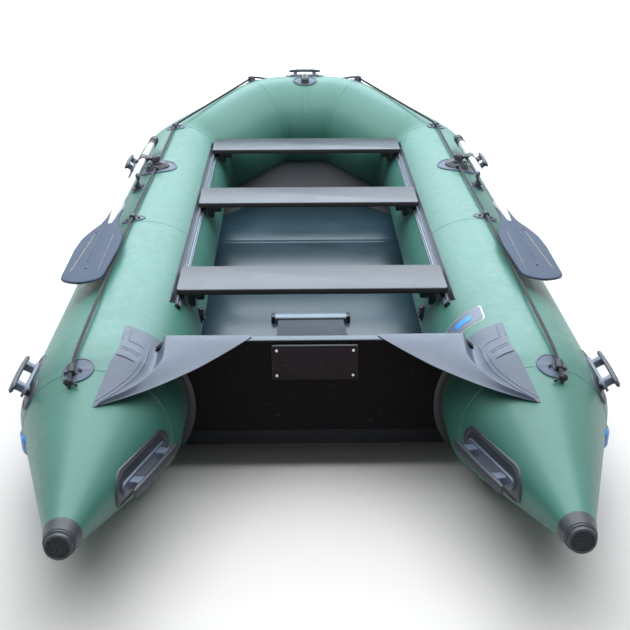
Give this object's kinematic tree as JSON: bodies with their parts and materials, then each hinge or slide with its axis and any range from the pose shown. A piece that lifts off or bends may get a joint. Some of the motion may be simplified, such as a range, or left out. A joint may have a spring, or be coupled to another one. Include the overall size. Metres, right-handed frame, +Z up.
{
  "type": "inflatable boat",
  "caption": "Open inflatable boat: U-shaped tubes with stern cones, plywood transom, sliding benches, oars stowed along the tubes and a lifeline.",
  "frame": {"origin": "on the ground under the middle of the boat's length and width", "axes": "+Z up, +Y towards the bow, +X to starboard"},
  "size_m": [1.6958, 3.6959, 0.6578],
  "materials": {
    "tube_fabric": "satin coated fabric",
    "grey_fabric": "satin coated fabric",
    "bottom_fabric": "satin coated fabric",
    "deck_panel": "satin, fine texture",
    "film_faced_plywood": "brown phenolic film, fine grid",
    "rail_profile": "satin extrusion",
    "black_rope": "braided",
    "anodised_tube": "satin anodised",
    "blade_plastic": "satin moulded",
    "steel_pin": "brushed",
    "strake_rubber": "satin",
    "channel_metal": "satin grey",
    "moulded_rubber": "satin moulded"
  },
  "bodies": {
    "hull": {"air_valves": "moulded_rubber", "bottom_skin": "bottom_fabric", "bow_eye": "moulded_rubber", "bow_handle": "moulded_rubber", "bow_tube": "tube_fabric", "cone_caps": "moulded_rubber", "fairleads": "moulded_rubber", "floor_deck": "deck_panel", "knee_board": "film_faced_plywood", "knee_channel": "channel_metal", "lifeline": "black_rope", "oar_clips": "moulded_rubber", "outer_motor_plate": "film_faced_plywood", "port_bow_quarter": "tube_fabric", "port_handles": "moulded_rubber", "port_oarlock": "moulded_rubber", "port_rub_strake": "strake_rubber", "port_seat_rail": "rail_profile", "port_side_tube": "tube_fabric", "port_splash_skirt": "grey_fabric", "port_stern_cone": "tube_fabric", "starboard_bow_quarter": "tube_fabric", "starboard_handles": "moulded_rubber", "starboard_oarlock": "moulded_rubber", "starboard_rub_strake": "strake_rubber", "starboard_seat_rail": "rail_profile", "starboard_side_tube": "tube_fabric", "starboard_splash_skirt": "grey_fabric", "starboard_stern_cone": "tube_fabric", "tow_ring": "moulded_rubber", "transom_board": "film_faced_plywood", "transom_cap": "grey_fabric"},
    "rear_bench": {"rear_bench_board": "film_faced_plywood", "rear_bench_clamps": "moulded_rubber"},
    "middle_bench": {"middle_bench_board": "film_faced_plywood", "middle_bench_clamps": "moulded_rubber"},
    "front_bench": {"front_bench_board": "film_faced_plywood", "front_bench_clamps": "moulded_rubber"},
    "port_oar": {"port_oar_blade": "blade_plastic", "port_oar_grip": "moulded_rubber", "port_oar_pin": "steel_pin", "port_oar_shaft": "anodised_tube"},
    "starboard_oar": {"starboard_oar_blade": "blade_plastic", "starboard_oar_grip": "moulded_rubber", "starboard_oar_pin": "steel_pin", "starboard_oar_shaft": "anodised_tube"}
  },
  "joints": [
    {"name": "rear_bench_slide", "type": "slide", "parent": "hull", "child": "rear_bench", "axis": [0, 1, 0], "range_m": [-0.06, 0.25]},
    {"name": "middle_bench_slide", "type": "slide", "parent": "hull", "child": "middle_bench", "axis": [0, 1, 0], "range_m": [-0.25, 0.25]},
    {"name": "front_bench_slide", "type": "slide", "parent": "hull", "child": "front_bench", "axis": [0, 1, 0], "range_m": [-0.2, 0]},
    {"name": "port_oar_swing", "type": "hinge", "parent": "hull", "child": "port_oar", "pos_m": [-0.645, 0.5545, 0.45592], "axis": [0.1634, 0, -0.9866], "range_deg": [0, 90]},
    {"name": "starboard_oar_swing", "type": "hinge", "parent": "hull", "child": "starboard_oar", "pos_m": [0.645, 0.5545, 0.45592], "axis": [0.1634, 0, 0.9866], "range_deg": [0, 90]}
  ]
}
